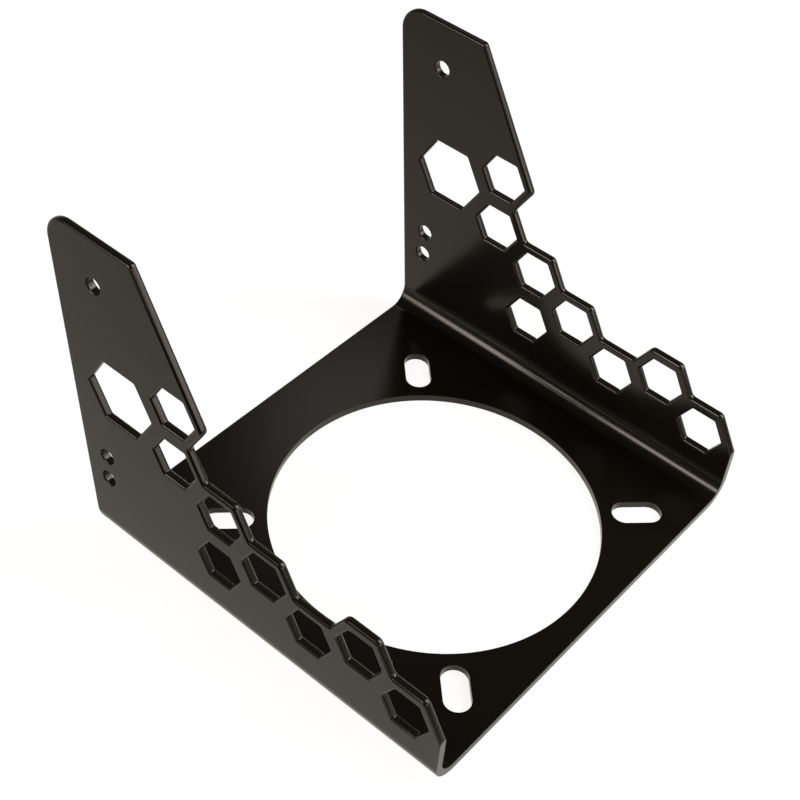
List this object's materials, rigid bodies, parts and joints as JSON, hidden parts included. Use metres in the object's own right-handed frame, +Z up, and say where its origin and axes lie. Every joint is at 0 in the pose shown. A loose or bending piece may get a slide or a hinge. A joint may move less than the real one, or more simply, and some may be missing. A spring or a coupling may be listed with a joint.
{
  "type": "motor mounting bracket",
  "caption": "Folded sheet bracket: base plate with a motor bore and diagonal slots between upright wings with stepped honeycomb edges and hexagonal cut-outs.",
  "frame": {"origin": "centre of the motor bore on the underside of the base plate", "axes": "+Z up along the bore, +Y towards the tall rear edge of the wings, +X towards the right wing"},
  "size_m": [0.165, 0.1632, 0.133],
  "materials": {
    "bracket": "satin black coating"
  },
  "bodies": {
    "root": {"bracket": "bracket"}
  },
  "joints": []
}
